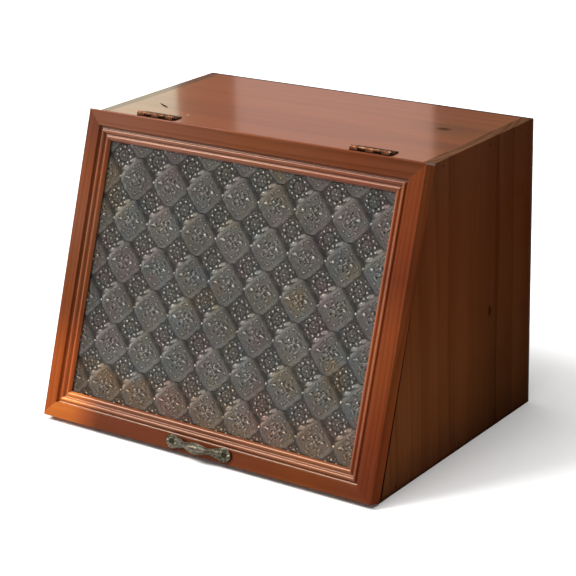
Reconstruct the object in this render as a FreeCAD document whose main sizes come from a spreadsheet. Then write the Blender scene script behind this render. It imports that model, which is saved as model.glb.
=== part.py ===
import FreeCAD, Part
import Sketcher
import math
import os

# Slope-fronted bread cabinet with a lift-up glazed door.
# Frame: millimetres, +Z up, +X to the right, the door faces -Y, z = 0 is the
# surface it stands on, and the origin is the middle of the overall footprint.

doc = FreeCAD.newDocument("bread_cabinet")

DIMS = [
    # carcass
    ("cab_width", 400.0, "outside width over the two side panels"),
    ("cab_height", 304.0, "height of the carcass"),
    ("cab_depth", 288.0, "depth at the foot, back panel included"),
    ("board_thk", 11.5, "side, top and bottom boards"),
    ("back_thk", 3.0, "back panel"),
    ("slope_deg", 18.0, "lean of the front edges from the vertical"),
    ("frame_shift", 130.2535, "distance from the foot of the front edge to the frame origin"),
    # carcass nails
    ("nail_rad", 0.8, "shank radius of a lost-head nail"),
    ("nail_head_rad", 1.3, "head radius"),
    ("nail_head_len", 1.4, "head length"),
    ("nail_set", 0.6, "how far the head is punched below the surface"),
    ("nail_len", 31.0, "nail length"),
    ("nail_edge", 6.0, "nail line to the outer face of the board it enters"),
    ("top_nail_front", 114.0, "front nail of the top board, from the foot of the front edge"),
    ("top_nail_mid", 201.0, "middle nail"),
    ("top_nail_back", 263.0, "back nail"),
    ("foot_nail_front", 28.0, "front nail of the bottom board"),
    ("foot_nail_mid", 145.0, "middle nail"),
    ("foot_nail_back", 262.0, "back nail"),
    ("tack_rad", 0.6, "back panel tack, shank radius"),
    ("tack_head_rad", 1.5, "back panel tack, head radius"),
    ("tack_head_len", 0.6, "back panel tack, head thickness"),
    ("tack_len", 14.0, "back panel tack, shank length"),
    ("tack_col", 150.0, "tack columns either side of the middle"),
    ("tack_row", 110.0, "tack rows above and below mid height"),
    # bumpers
    ("pad_rad", 3.0, "felt bumper radius"),
    ("pad_thk", 1.8, "felt bumper thickness"),
    ("pad_up", 22.0, "bumper centre above the foot, along the front edge"),
    ("pad_in", 7.0, "bumper centre in from the outside face"),
    # door
    ("door_width", 402.0, "door width"),
    ("door_height", 319.5, "door height along its slope"),
    ("door_thk", 16.0, "door stock thickness"),
    ("door_deg", 18.3, "lean of the shut door, held off by the bumpers"),
    ("door_gap", 0.4, "gap between the door's back and the top board"),
    ("mould_wide", 371.4, "moulding, arris to arris across"),
    ("mould_tall", 288.8, "moulding, arris to arris along the slope"),
    ("mould_right", -1.3, "moulding centre to the right of the door centre"),
    ("mould_up", -1.0, "moulding centre above the door centre"),
    ("mould_turn", 0.33, "turn of the moulding in the trimmed door, clockwise"),
    ("mould_proj", 14.2, "moulding width, arris to sight edge"),
    ("trim_over", 22.0, "stock left outside the arris before trimming"),
    ("seat_level", 10.0, "glass seat above the back face"),
    ("rebate_cut", 6.0, "rebate width"),
    # glass and beads
    ("glass_thk", 4.0, "patterned glass"),
    ("glass_play", 0.5, "play around the glass in the rebate"),
    ("bead_level", 0.5, "glazing bead below the back face"),
    ("brad_rad", 0.5, "glazing brad radius"),
    ("brad_len", 12.0, "glazing brad length"),
    ("brad_level", 3.2, "glazing brad above the back face"),
    ("brad_side", 80.0, "side brads above and below the middle"),
    ("brad_end", 110.0, "top and bottom brads either side of the middle"),
    ("pin_rad", 0.7, "mitre pin radius"),
    ("pin_len", 26.0, "mitre pin length"),
    ("pin_in", 7.5, "mitre pin in from the door's side"),
    ("pin_level", 8.0, "mitre pin above the back face"),
    # hinges
    ("hinge_off", 129.0, "hinge centre either side of the middle"),
    ("hinge_len", 45.0, "hinge length"),
    ("barrel_rad", 2.0, "knuckle radius"),
    ("barrel_up", 2.8, "hinge axis above the top board"),
    ("barrel_back", 1.3, "hinge axis behind the door's back face"),
    ("hinge_pin_rad", 1.0, "hinge pin radius"),
    ("hinge_bore", 1.05, "running bore in the door leaf"),
    ("pin_head_rad", 1.6, "peened end of the hinge pin"),
    ("pin_head_len", 0.8, "peened end thickness"),
    ("leaf_thk", 1.2, "leaf thickness"),
    ("leaf_deep", 13.0, "leaf, axis to far edge"),
    ("leaf_cut", 2.6, "leaf cut back round the other leaf's knuckles"),
    ("knuckle_gap", 0.15, "half gap between knuckles"),
    ("leaf_play", 0.1, "play of the leaf in its recess"),
    ("screw_at", 8.2, "screw line from the axis"),
    ("screw_pitch", 16.0, "screw spacing on a leaf"),
    ("screw_rad", 1.3, "leaf screw shank radius"),
    ("screw_head", 2.5, "leaf screw head radius"),
    ("screw_len", 9.0, "leaf screw length under the leaf"),
    # pull
    ("pull_up", 8.8, "pull centre above the door's lower edge"),
    ("pull_half", 39.9, "half length of the pull"),
    ("pull_screw", 32.3, "pull screws either side of the middle"),
    ("pull_base", 3.0, "thickness of the rosettes"),
    ("pull_rise", 12.0, "front of the bow above the door"),
    ("pull_under", 7.5, "space under the bow"),
    ("pull_foot", 22.0, "half span of the space under the bow"),
    ("pull_spring", 21.0, "where the bow leaves the rosette"),
    ("pull_spring_up", 4.6, "height there"),
    ("rosette_rad", 6.7, "rosette radius"),
    ("bow_half", 5.5, "half width of the bow at the middle"),
    ("neck_half", 3.1, "half width of the neck"),
    ("neck_at", 15.0, "neck from the middle"),
    ("shoulder_at", 24.0, "shoulder from the middle"),
    ("shoulder_half", 4.9, "half width of the shoulder"),
    ("pull_screw_rad", 1.4, "pull screw shank radius"),
    ("pull_head_rad", 2.3, "pull screw head radius"),
    ("pull_head_len", 1.6, "pull screw head thickness"),
    ("pull_screw_len", 13.0, "pull screw length under its head"),
]

sheet = doc.addObject("Spreadsheet::Sheet", "Dims")
for row, (alias, value, note) in enumerate(DIMS, start=1):
    sheet.set("A%d" % row, alias)
    sheet.set("B%d" % row, "%g" % value)
    sheet.setAlias("B%d" % row, alias)
    sheet.set("C%d" % row, note)
doc.recompute()


def D(text):
    """Write @name for a cell of the sheet."""
    return text.replace("@", "Dims.")


def num(expr):
    return float(sheet.evalExpression(D(expr)))


# ---------------------------------------------------------------- helpers

NODES = []


def new_body(label, place=None):
    b = doc.addObject("PartDesign::Body", label)
    b.Label = label
    b.AllowCompound = True
    if place:
        b.setExpression("Placement", D(place))
    NODES.append(b)
    return b


def new_sketch(b, role, offset=None):
    plane = [f for f in b.Origin.OriginFeatures if f.Role == role][0]
    sk = b.newObject("Sketcher::SketchObject", b.Label + "_sketch")
    sk.AttachmentSupport = [(plane, "")]
    sk.MapMode = "FlatFace"
    if offset is not None:
        sk.AttachmentOffset = FreeCAD.Placement(
            FreeCAD.Vector(0, 0, num(offset)), FreeCAD.Rotation())
        sk.setExpression("AttachmentOffset.Base.z", D(offset))
    return sk


def fix(sk, geo, pos, ex, ey):
    """Pin a vertex to the sketch origin with sizes bound to the sheet."""
    for kind, expr, axis in (("DistanceX", ex, -2), ("DistanceY", ey, -1)):
        v = num(expr)
        if abs(v) < 1e-9:
            sk.addConstraint(Sketcher.Constraint("PointOnObject", geo, pos, axis))
        elif v > 0:
            i = sk.addConstraint(Sketcher.Constraint(kind, -1, 1, geo, pos, v))
            sk.setExpression("Constraints[%d]" % i, D(expr))
        else:
            i = sk.addConstraint(Sketcher.Constraint(kind, geo, pos, -1, 1, -v))
            sk.setExpression("Constraints[%d]" % i, D("-(%s)" % expr))


def outline(sk, verts):
    """Closed outline. Each vertex is (x, y) or (x, y, radius, turn): the side
    that leaves it is then an arc, counter-clockwise when turn is 1."""
    n = len(verts)
    pts = [FreeCAD.Vector(num(v[0]), num(v[1]), 0) for v in verts]
    sides = []
    for i, v in enumerate(verts):
        a, c = pts[i], pts[(i + 1) % n]
        if len(v) == 2:
            g = sk.addGeometry(Part.LineSegment(a, c), False)
            sides.append((g, 1, 2))
            continue
        r, turn = num(v[2]), v[3]
        s, e = (a, c) if turn > 0 else (c, a)
        mid = (s + e) * 0.5
        half = (e - s).Length / 2.0
        left = FreeCAD.Vector(-(e - s).y, (e - s).x, 0).normalize()
        cen = mid + left * math.sqrt(r * r - half * half)
        a1 = math.atan2(s.y - cen.y, s.x - cen.x)
        a2 = math.atan2(e.y - cen.y, e.x - cen.x)
        if a2 < a1:
            a2 += 2 * math.pi
        g = sk.addGeometry(Part.ArcOfCircle(
            Part.Circle(cen, FreeCAD.Vector(0, 0, 1), r), a1, a2), False)
        sides.append((g, 1, 2) if turn > 0 else (g, 2, 1))
    for i in range(n):
        g, _, end = sides[i]
        h, start, _ = sides[(i + 1) % n]
        sk.addConstraint(Sketcher.Constraint("Coincident", g, end, h, start))
    for i, v in enumerate(verts):
        g, start, _ = sides[i]
        fix(sk, g, start, v[0], v[1])
        if len(v) == 4:
            k = sk.addConstraint(Sketcher.Constraint("Radius", g, num(v[2])))
            sk.setExpression("Constraints[%d]" % k, D(v[2]))


def circles(sk, spots, radius):
    for ex, ey in spots:
        g = sk.addGeometry(Part.Circle(
            FreeCAD.Vector(num(ex), num(ey), 0), FreeCAD.Vector(0, 0, 1), num(radius)), False)
        fix(sk, g, 3, ex, ey)
        k = sk.addConstraint(Sketcher.Constraint("Radius", g, num(radius)))
        sk.setExpression("Constraints[%d]" % k, D(radius))


def feature(b, kind, sk, length, both=False, flip=False, taper=None):
    f = b.newObject("PartDesign::" + kind, b.Label + "_" + kind.lower())
    f.Profile = sk
    f.Type = 0
    f.Length = num(length)
    f.setExpression("Length", D(length))
    f.Midplane = both
    f.Reversed = flip
    if taper is not None:
        f.TaperAngle = taper
    sk.Visibility = False
    b.Tip = f
    return f


def pad(b, role, verts, length, offset=None, **kw):
    sk = new_sketch(b, role, offset)
    outline(sk, verts)
    return feature(b, "Pad", sk, length, **kw)


def cut(b, role, loops, length, offset=None, **kw):
    sk = new_sketch(b, role, offset)
    for loop in loops:
        outline(sk, loop)
    return feature(b, "Pocket", sk, length, **kw)


def rods(b, role, spots, radius, length, offset=None, **kw):
    sk = new_sketch(b, role, offset)
    circles(sk, spots, radius)
    return feature(b, "Pad", sk, length, **kw)


def drill(b, role, spots, radius, length, offset=None, **kw):
    sk = new_sketch(b, role, offset)
    circles(sk, spots, radius)
    return feature(b, "Pocket", sk, length, **kw)


def box(x0, y0, x1, y1):
    return [(x0, y0), (x1, y0), (x1, y1), (x0, y1)]


# ---------------------------------------------------------------- frames

# Carcass pieces: y from the foot of the front edge, moved back to the origin.
CARCASS = "placement(vector(0; -@frame_shift; 0); rotationx(0))"
TOP_Y = "(@cab_height * tan(@slope_deg) - @door_gap)"      # door's back, at the top board
DOOR_AT = "vector(0; %s - @frame_shift; @cab_height)" % TOP_Y
LEAN = "rotationx(90 - @door_deg)"
# Door frame: x across, y up the slope, z out of the front, from the middle of
# the back upper arris.
DOOR = "placement(%s; %s)" % (DOOR_AT, LEAN)
# Moulding frame: centre of the moulding, turned in the door's plane.
MOULD = DOOR + (" * placement(vector(@mould_right; @mould_up - @door_height / 2; 0);"
                " rotationz(-@mould_turn))")
# Hinge axis, in the door frame: behind the back face, above the upper edge.
AX_UP = "((@barrel_up + @barrel_back * sin(@door_deg)) / cos(@door_deg))"
AX_Y = "(%s + %s * sin(@door_deg) + @barrel_back * cos(@door_deg))" % (TOP_Y, AX_UP)
AX_Z = "(@cab_height + @barrel_up)"

HALF = "@cab_width / 2"
BACK = "(@cab_depth - @back_thk)"
INNER = "(@cab_width / 2 - @board_thk)"

top_line = [("@" + n, "@cab_height - @nail_edge")
            for n in ("top_nail_front", "top_nail_mid", "top_nail_back")]
foot_line = [("@" + n, "@nail_edge")
             for n in ("foot_nail_front", "foot_nail_mid", "foot_nail_back")]
MID_Z = "@cab_height / 2"
side_tacks = [("@board_thk / 2 - %s" % HALF, "%s + @tack_row * %d" % (MID_Z, k)) for k in (-1, 0, 1)]
side_tacks_r = [("%s - @board_thk / 2" % HALF, z) for _, z in side_tacks]
foot_tacks = [("@tack_col * %d" % k, "@board_thk / 2") for k in (-1, 0, 1)]
head_tacks = [("@tack_col * %d" % k, "@cab_height - @board_thk / 2") for k in (-1, 0, 1)]

# ---------------------------------------------------------------- carcass

for label, sign in (("left_side_panel", -1), ("right_side_panel", 1)):
    b = new_body(label, CARCASS)
    shape = [("0", "0"), (BACK, "0"), (BACK, "@cab_height"),
             ("@cab_height * tan(@slope_deg)", "@cab_height")]
    face = "%d * %s" % (sign, HALF)
    pad(b, "YZ_Plane", shape, "@board_thk", face, flip=sign > 0)
    drill(b, "YZ_Plane", top_line + foot_line, "@nail_head_rad",
          "@nail_set + @nail_head_len", face, flip=sign < 0)
    drill(b, "YZ_Plane", top_line + foot_line, "@nail_rad",
          "@board_thk + 1", face, flip=sign < 0)
    drill(b, "XZ_Plane", side_tacks if sign < 0 else side_tacks_r, "@tack_rad",
          "@tack_len - @back_thk", "-%s" % BACK, flip=True)

for label, level, slot, line, tacks in (
        ("top_panel", "@cab_height", "@cab_height - @board_thk", top_line, head_tacks),
        ("bottom_panel", "@board_thk", "0", foot_line, foot_tacks)):
    b = new_body(label, CARCASS)
    shape = [("(%s) * tan(@slope_deg)" % slot, slot), (BACK, slot), (BACK, level),
             ("(%s) * tan(@slope_deg)" % level, level)]
    pad(b, "YZ_Plane", shape, "2 * %s" % INNER, both=True)
    deep = "@nail_set + @nail_len - @board_thk"
    drill(b, "YZ_Plane", line, "@nail_rad", deep, INNER)
    drill(b, "YZ_Plane", line, "@nail_rad", deep, "-" + INNER, flip=True)
    drill(b, "XZ_Plane", tacks, "@tack_rad", "@tack_len - @back_thk", "-%s" % BACK, flip=True)
    if label == "top_panel":
        spots = [("%d * @hinge_off + %d * @screw_pitch" % (s, k),
                  "%s + @screw_at" % AX_Y) for s in (-1, 1) for k in (-1, 0, 1)]
        drill(b, "XY_Plane", spots, "@screw_rad", "@screw_len", "@cab_height")

b = new_body("back_panel", CARCASS)
all_tacks = side_tacks + side_tacks_r + foot_tacks + head_tacks
pad(b, "XZ_Plane", box("-" + HALF, "0", HALF, "@cab_height"), "@back_thk", "-@cab_depth")
drill(b, "XZ_Plane", all_tacks, "@tack_rad", "@back_thk + 1", "-@cab_depth", flip=True)
drill(b, "XZ_Plane", all_tacks, "@tack_head_rad", "@tack_head_len", "-@cab_depth", flip=True)

for label, sign in (("left_side_nails", -1), ("right_side_nails", 1)):
    b = new_body(label, CARCASS)
    face = "%d * (%s - @nail_set)" % (sign, HALF)
    rods(b, "YZ_Plane", top_line + foot_line, "@nail_rad", "@nail_len", face, flip=sign > 0)
    rods(b, "YZ_Plane", top_line + foot_line, "@nail_head_rad", "@nail_head_len",
         face, flip=sign > 0)

b = new_body("back_panel_tacks", CARCASS)
rods(b, "XZ_Plane", all_tacks, "@tack_rad", "@tack_len", "-@cab_depth")
rods(b, "XZ_Plane", all_tacks, "@tack_head_rad", "@tack_head_len", "-@cab_depth")

# Felt bumpers, square to the front edges.
for label, sign in (("left_bumper_pad", -1), ("right_bumper_pad", 1)):
    b = new_body(label, "placement(vector(%d * (%s - @pad_in);"
                 " @pad_up * sin(@slope_deg) - @frame_shift; @pad_up * cos(@slope_deg));"
                 " rotationx(90 - @slope_deg))" % (sign, HALF))
    rods(b, "XY_Plane", [("0", "0")], "@pad_rad", "@pad_thk")

# ---------------------------------------------------------------- door frame

# Section of the moulding as (distance in from the arris, level above the back
# face, radius, turn): a step, a hollow, a bead, a second hollow, a second bead
# and the sight edge.
SECTION = [
    ("0", "@door_thk"),
    ("0.8", "@door_thk - 2.5", "1.85", 1),
    ("3.9", "@door_thk - 1.8", "2.4", -1),
    ("7.2", "@door_thk - 2.9", "1.35", 1),
    ("9.5", "@door_thk - 3.4", "2.7", -1),
    ("13.4", "@door_thk - 4.5"),
    ("@mould_proj", "@door_thk - 5.3"),
    ("@mould_proj", "@seat_level"),
    ("@mould_proj + 2", "@seat_level"),
    ("@mould_proj + 2", "@door_thk + 2"),
    ("0", "@door_thk + 2"),
]
AW, AH = "(@mould_wide / 2)", "(@mould_tall / 2)"


def door_corner(sx, sy):
    """A corner of the trimmed door, in the moulding frame."""
    dx = "(%d * @door_width / 2 - @mould_right)" % sx
    dy = "(%d * @door_height / 2 - @mould_up)" % sy
    c, s = "cos(@mould_turn)", "sin(@mould_turn)"
    return ("(%s * %s - %s * %s)" % (dx, c, dy, s), "(%s * %s + %s * %s)" % (dx, s, dy, c))


trim = [door_corner(-1, -1), door_corner(1, -1), door_corner(1, 1), door_corner(-1, 1)]
outer_cell = box("-(%s + 40)" % AW, "-(%s + 40)" % AH, "%s + 40" % AW, "%s + 40" % AH)

for label, across, sign in (("door_top_rail", True, 1), ("door_bottom_rail", True, -1),
                            ("door_left_stile", False, -1), ("door_right_stile", False, 1)):
    b = new_body(label, MOULD)
    near, far = (AH, AW) if across else (AW, AH)
    blank = [("-(%s - @mould_proj)" % far, "%d * (%s - @mould_proj)" % (sign, near)),
             ("%s - @mould_proj" % far, "%d * (%s - @mould_proj)" % (sign, near)),
             ("%s + @trim_over" % far, "%d * (%s + @trim_over)" % (sign, near)),
             ("-(%s + @trim_over)" % far, "%d * (%s + @trim_over)" % (sign, near))]
    if not across:
        blank = [(y, x) for x, y in blank]
    pad(b, "XY_Plane", blank, "@door_thk")
    role = "YZ_Plane" if across else "XZ_Plane"
    run = []
    for v in SECTION:
        p = "%d * (%s - (%s))" % (sign, near, v[0])
        # reading the section towards -x turns its arcs over
        run.append((p, v[1]) if len(v) == 2 else (p, v[1], v[2], -v[3] * sign))
    cut(b, role, [run], "1000", both=True)
    gl = "%d * (%s - @mould_proj)" % (sign, near)
    gi = "%d * (%s - @mould_proj - 2)" % (sign, near)
    go = "%d * (%s - @mould_proj + @rebate_cut)" % (sign, near)
    cut(b, role, [box(gi, "-1", go, "@seat_level")], "1000", both=True)
    cut(b, "XY_Plane", [outer_cell, trim], "200", both=True)

rails = {b.Label: b for b in NODES}


def in_mould(x, y):
    """A point of the door's face plane, given from the door's centre, in the
    moulding frame."""
    dx, dy = "((%s) - @mould_right)" % x, "((%s) - @mould_up)" % y
    c, s = "cos(@mould_turn)", "sin(@mould_turn)"
    return ("(%s * %s - %s * %s)" % (dx, c, dy, s), "(%s * %s + %s * %s)" % (dx, s, dy, c))


def door_box(x0, y0, x1, y1):
    return [in_mould(x0, y0), in_mould(x1, y0), in_mould(x1, y1), in_mould(x0, y1)]


# recesses and screw holes for the hinge leaves in the top rail's back
b = rails["door_top_rail"]
for s in (-1, 1):
    cut(b, "XY_Plane", [door_box(
        "%d * @hinge_off - @hinge_len / 2 - @leaf_play" % s,
        "@door_height / 2 - (@leaf_deep - %s) - @leaf_play" % AX_UP,
        "%d * @hinge_off + @hinge_len / 2 + @leaf_play" % s,
        "@door_height / 2 + 2")], "@leaf_thk", flip=True)
leaf_screws = [("%d * @hinge_off + %d * @screw_pitch" % (s, k),
                "@door_height / 2 + %s - @screw_at" % AX_UP) for s in (-1, 1) for k in (-1, 0, 1)]
drill(b, "XY_Plane", [in_mould(*p) for p in leaf_screws], "@screw_rad",
      "@leaf_thk + @screw_len", flip=True)
# pull screw holes in the bottom rail's front
b = rails["door_bottom_rail"]
drill(b, "XY_Plane", [in_mould("%d * @pull_screw" % s, "@pull_up - @door_height / 2")
                      for s in (-1, 1)], "@pull_screw_rad", "@pull_screw_len + @pull_head_len - @pull_base + 0.2",
      "@door_thk")

# mitre pins run in from the rails' outer edges, through the joints
PIN_SET = 1.6
pin_spots = [("%d * (@door_width / 2 - @pin_in) - @mould_right" % s, "@pin_level") for s in (-1, 1)]
for sy, rail in ((1, "door_top_rail"), (-1, "door_bottom_rail")):
    plane_at = "%d * (@door_height / 2 - %d * @mould_up + 2)" % (-sy, sy)
    for name in (rail, "door_left_stile", "door_right_stile"):
        spots = {"door_left_stile": pin_spots[:1], "door_right_stile": pin_spots[1:]}.get(name, pin_spots)
        drill(rails[name], "XZ_Plane", spots, "@pin_rad", "@pin_len + 2 + %g" % PIN_SET,
              plane_at, flip=sy > 0)
b = new_body("mitre_pins", MOULD)
for sy in (1, -1):
    rods(b, "XZ_Plane", pin_spots, "@pin_rad", "@pin_len",
         "%d * (@door_height / 2 - %d * @mould_up - %g)" % (-sy, sy, PIN_SET), flip=sy < 0)

# ---------------------------------------------------------------- glazing

GW = "(%s - @mould_proj + @rebate_cut)" % AW      # half width of the rebate
GH = "(%s - @mould_proj + @rebate_cut)" % AH      # half height of the rebate
SW = "(%s - @mould_proj)" % AW                    # half width at the sight edge
SH = "(%s - @mould_proj)" % AH

b = new_body("glass_pane", MOULD)
pad(b, "XY_Plane", box("-(%s - @glass_play)" % GW, "-(%s - @glass_play)" % GH,
                       "%s - @glass_play" % GW, "%s - @glass_play" % GH),
    "@glass_thk", "@seat_level - @glass_thk")

STRIP = "@seat_level - @glass_thk - @bead_level"
for label, sign in (("glazing_bead_top", 1), ("glazing_bead_bottom", -1)):
    b = new_body(label, MOULD)
    pad(b, "XY_Plane", box("-" + GW, "%d * %s" % (sign, SH), GW, "%d * %s" % (sign, GH)),
        STRIP, "@bead_level")
for label, sign in (("glazing_bead_left", -1), ("glazing_bead_right", 1)):
    b = new_body(label, MOULD)
    pad(b, "XY_Plane", box("%d * %s" % (sign, SW), "-" + SH, "%d * %s" % (sign, GW), SH),
        STRIP, "@bead_level")

beads = {n.Label: n for n in NODES}
b_brads = new_body("glazing_brads", MOULD)
for sign, bead, frame in ((-1, "glazing_bead_left", "door_left_stile"),
                          (1, "glazing_bead_right", "door_right_stile")):
    spots = [("@brad_side * %d" % k, "@brad_level") for k in (-1, 1)]
    at = "%d * %s" % (sign, SW)
    for n in (bead, frame):
        drill(beads[n], "YZ_Plane", spots, "@brad_rad", "@brad_len", at, flip=sign > 0)
    rods(b_brads, "YZ_Plane", spots, "@brad_rad", "@brad_len", at, flip=sign < 0)
for sign, bead, frame in ((-1, "glazing_bead_bottom", "door_bottom_rail"),
                          (1, "glazing_bead_top", "door_top_rail")):
    spots = [("@brad_end * %d" % k, "@brad_level") for k in (-1, 1)]
    at = "%d * %s" % (-sign, SH)
    for n in (bead, frame):
        drill(beads[n], "XZ_Plane", spots, "@brad_rad", "@brad_len", at, flip=sign < 0)
    rods(b_brads, "XZ_Plane", spots, "@brad_rad", "@brad_len", at, flip=sign > 0)

# ---------------------------------------------------------------- hinges

K = "(@hinge_len / 5)"


def comb(fingers, root, tip):
    """Plan of a leaf: fingers reach the axis, the rest is cut back."""
    edges = []
    for i in range(5):
        x0, x1 = "-@hinge_len / 2 + %d * %s" % (i, K), "-@hinge_len / 2 + %d * %s" % (i + 1, K)
        if i in fingers:
            lo = x0 if i == 0 else x0 + " + @knuckle_gap"
            hi = x1 if i == 4 else x1 + " - @knuckle_gap"
            edges.append((lo, hi))
    pts = []
    x_start, x_end = "-@hinge_len / 2", "@hinge_len / 2"
    if 0 not in fingers:
        pts.append((x_start, root))
    for i, (lo, hi) in zip(sorted(fingers), edges):
        if i != 0:
            pts.append((lo, root))
        pts.append((lo, "0"))
        pts.append((hi, "0"))
        if i != 4:
            pts.append((hi, root))
    if 4 not in fingers:
        pts.append((x_end, root))
    return pts + [(x_end, tip), (x_start, tip)]


for side, sx in (("left", -1), ("right", 1)):
    at = "vector(%d * @hinge_off; %s - @frame_shift; %s)" % (sx, AX_Y, AX_Z)
    # the leaf on the top board
    b = new_body(side + "_hinge_top_leaf", "placement(%s; rotationx(0))" % at)
    pad(b, "XY_Plane", comb((1, 3), "@leaf_cut", "@leaf_deep"), "@leaf_thk", "-@barrel_up")
    for i in (1, 3):
        rods(b, "YZ_Plane", [("0", "0")], "@barrel_rad", "%s - 2 * @knuckle_gap" % K,
             "-@hinge_len / 2 + %d * %s + @knuckle_gap" % (i, K))
    drill(b, "YZ_Plane", [("0", "0")], "@hinge_pin_rad", "200", both=True)
    spots = [("@screw_pitch * %d" % k, "@screw_at") for k in (-1, 0, 1)]
    drill(b, "XY_Plane", spots, "@screw_rad", "@leaf_thk", "@leaf_thk - @barrel_up")
    drill(b, "XY_Plane", spots, "@screw_head", "@leaf_thk", "@leaf_thk - @barrel_up", taper=-45)
    # the leaf let into the door's back
    b = new_body(side + "_hinge_door_leaf", "placement(%s; %s)" % (at, LEAN))
    pad(b, "XY_Plane", comb((0, 2, 4), "-@leaf_cut", "-@leaf_deep"), "@leaf_thk", "@barrel_back")
    for i in (0, 2, 4):
        lo = "0" if i == 0 else "@knuckle_gap"
        hi = "0" if i == 4 else "@knuckle_gap"
        rods(b, "YZ_Plane", [("0", "0")], "@barrel_rad", "%s - %s - %s" % (K, lo, hi),
             "-@hinge_len / 2 + %d * %s + %s" % (i, K, lo))
    drill(b, "YZ_Plane", [("0", "0")], "@hinge_bore", "200", both=True)
    spots = [("@screw_pitch * %d" % k, "-@screw_at") for k in (-1, 0, 1)]
    drill(b, "XY_Plane", spots, "@screw_rad", "@leaf_thk", "@barrel_back", flip=True)
    drill(b, "XY_Plane", spots, "@screw_head", "@leaf_thk", "@barrel_back", flip=True, taper=-45)
    # the pin, peened over at both ends
    b = new_body(side + "_hinge_pin", "placement(%s; rotationx(0))" % at)
    rods(b, "YZ_Plane", [("0", "0")], "@hinge_pin_rad", "@hinge_len + 0.6", both=True)
    for s in (-1, 1):
        rods(b, "YZ_Plane", [("0", "0")], "@pin_head_rad", "@pin_head_len",
             "%d * (@hinge_len / 2 + 0.2)" % s, flip=s < 0)

# countersunk screws, all six of each side of the joint in one group
b = new_body("top_leaf_screws", "placement(vector(0; %s - @frame_shift; %s); rotationx(0))"
             % (AX_Y, AX_Z))
spots = [("%d * @hinge_off + %d * @screw_pitch" % (s, k), "@screw_at")
         for s in (-1, 1) for k in (-1, 0, 1)]
rods(b, "XY_Plane", spots, "@screw_rad", "@screw_len + @leaf_thk", "@leaf_thk - @barrel_up", flip=True)
rods(b, "XY_Plane", spots, "@screw_head", "@leaf_thk", "@leaf_thk - @barrel_up", flip=True, taper=-45)
b = new_body("door_leaf_screws", "placement(vector(0; %s - @frame_shift; %s); %s)"
             % (AX_Y, AX_Z, LEAN))
spots = [(x, "-@screw_at") for x, _ in spots]
rods(b, "XY_Plane", spots, "@screw_rad", "@screw_len + @leaf_thk", "@barrel_back")
rods(b, "XY_Plane", spots, "@screw_head", "@leaf_thk", "@barrel_back", taper=-45)

# ---------------------------------------------------------------- pull

PULL = DOOR + " * placement(vector(0; @pull_up - @door_height; @door_thk); rotationx(0))"
b = new_body("pull_handle", PULL)
rise_r = "((@pull_spring ^ 2 + (@pull_rise - @pull_spring_up) ^ 2) / (2 * (@pull_rise - @pull_spring_up)))"
under_r = "((@pull_foot ^ 2 + @pull_under ^ 2) / (2 * @pull_under))"
pad(b, "XZ_Plane", [
    ("-@pull_half", "0"), ("-@pull_foot", "0", under_r, -1), ("@pull_foot", "0"),
    ("@pull_half", "0"), ("@pull_half", "@pull_base - 1"), ("@pull_half - 2.2", "@pull_base"),
    ("@shoulder_at + 2.5", "@pull_base"), ("@pull_spring", "@pull_spring_up", rise_r, 1),
    ("-@pull_spring", "@pull_spring_up"), ("-(@shoulder_at + 2.5)", "@pull_base"),
    ("2.2 - @pull_half", "@pull_base"), ("-@pull_half", "@pull_base - 1")],
    "2 * @rosette_rad + 2", both=True)
bulge_r = "((@neck_at ^ 2 + (@bow_half - @neck_half) ^ 2) / (2 * (@bow_half - @neck_half)))"
end_r = "@rosette_rad + 0.5"
plan = [
    ("@neck_at", "-@neck_half"), ("@shoulder_at", "-@shoulder_half"),
    ("@pull_screw - 2.5", "-@rosette_rad", "@rosette_rad + 3", 1),
    ("@pull_half", "0", "@rosette_rad + 3", 1),
    ("@pull_screw - 2.5", "@rosette_rad"), ("@shoulder_at", "@shoulder_half"),
    ("@neck_at", "@neck_half", bulge_r, 1),
    ("-@neck_at", "@neck_half"), ("-@shoulder_at", "@shoulder_half"),
    ("2.5 - @pull_screw", "@rosette_rad", "@rosette_rad + 3", 1),
    ("-@pull_half", "0", "@rosette_rad + 3", 1),
    ("2.5 - @pull_screw", "-@rosette_rad"), ("-@shoulder_at", "-@shoulder_half"),
    ("-@neck_at", "-@neck_half", bulge_r, 1)]
cut(b, "XY_Plane", [box("-60", "-20", "60", "20"), plan], "100", both=True)
ends = [("-@pull_screw", "0"), ("@pull_screw", "0")]
drill(b, "XY_Plane", ends, "@pull_screw_rad", "100", both=True)
drill(b, "XY_Plane", ends, "@pull_head_rad", "@pull_head_len", "@pull_base - 0.2")
b = new_body("pull_screws", PULL)
rods(b, "XY_Plane", ends, "@pull_screw_rad", "@pull_screw_len + @pull_head_len", "@pull_base - 0.2", flip=True)
rods(b, "XY_Plane", ends, "@pull_head_rad", "@pull_head_len", "@pull_base - 0.2", flip=True)

# ---------------------------------------------------------------- checks

doc.recompute()
problems = []
for obj in doc.Objects:
    if "Invalid" in obj.State or "Error" in obj.State:
        problems.append("%s (%s): %s" % (obj.Name, obj.TypeId, obj.State))
for b in NODES:
    steps = [o for o in b.Group if o.isDerivedFrom("PartDesign::Feature")]
    for prev, step in zip(steps, steps[1:]):
        gain = step.Shape.Volume - prev.Shape.Volume
        if (step.TypeId == "PartDesign::Pocket") != (gain < -1e-3) or abs(gain) < 1e-3:
            problems.append("%s %s changes the volume by %g" % (b.Label, step.Name, gain))
    shape = b.Shape
    if shape.isNull() or not shape.isValid() or not shape.Solids:
        problems.append(b.Label + " has no valid solid")
    elif min(x.Volume for x in shape.Solids) <= 0:
        problems.append(b.Label + " is inside out")
if problems:
    raise RuntimeError("; ".join(problems))

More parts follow.
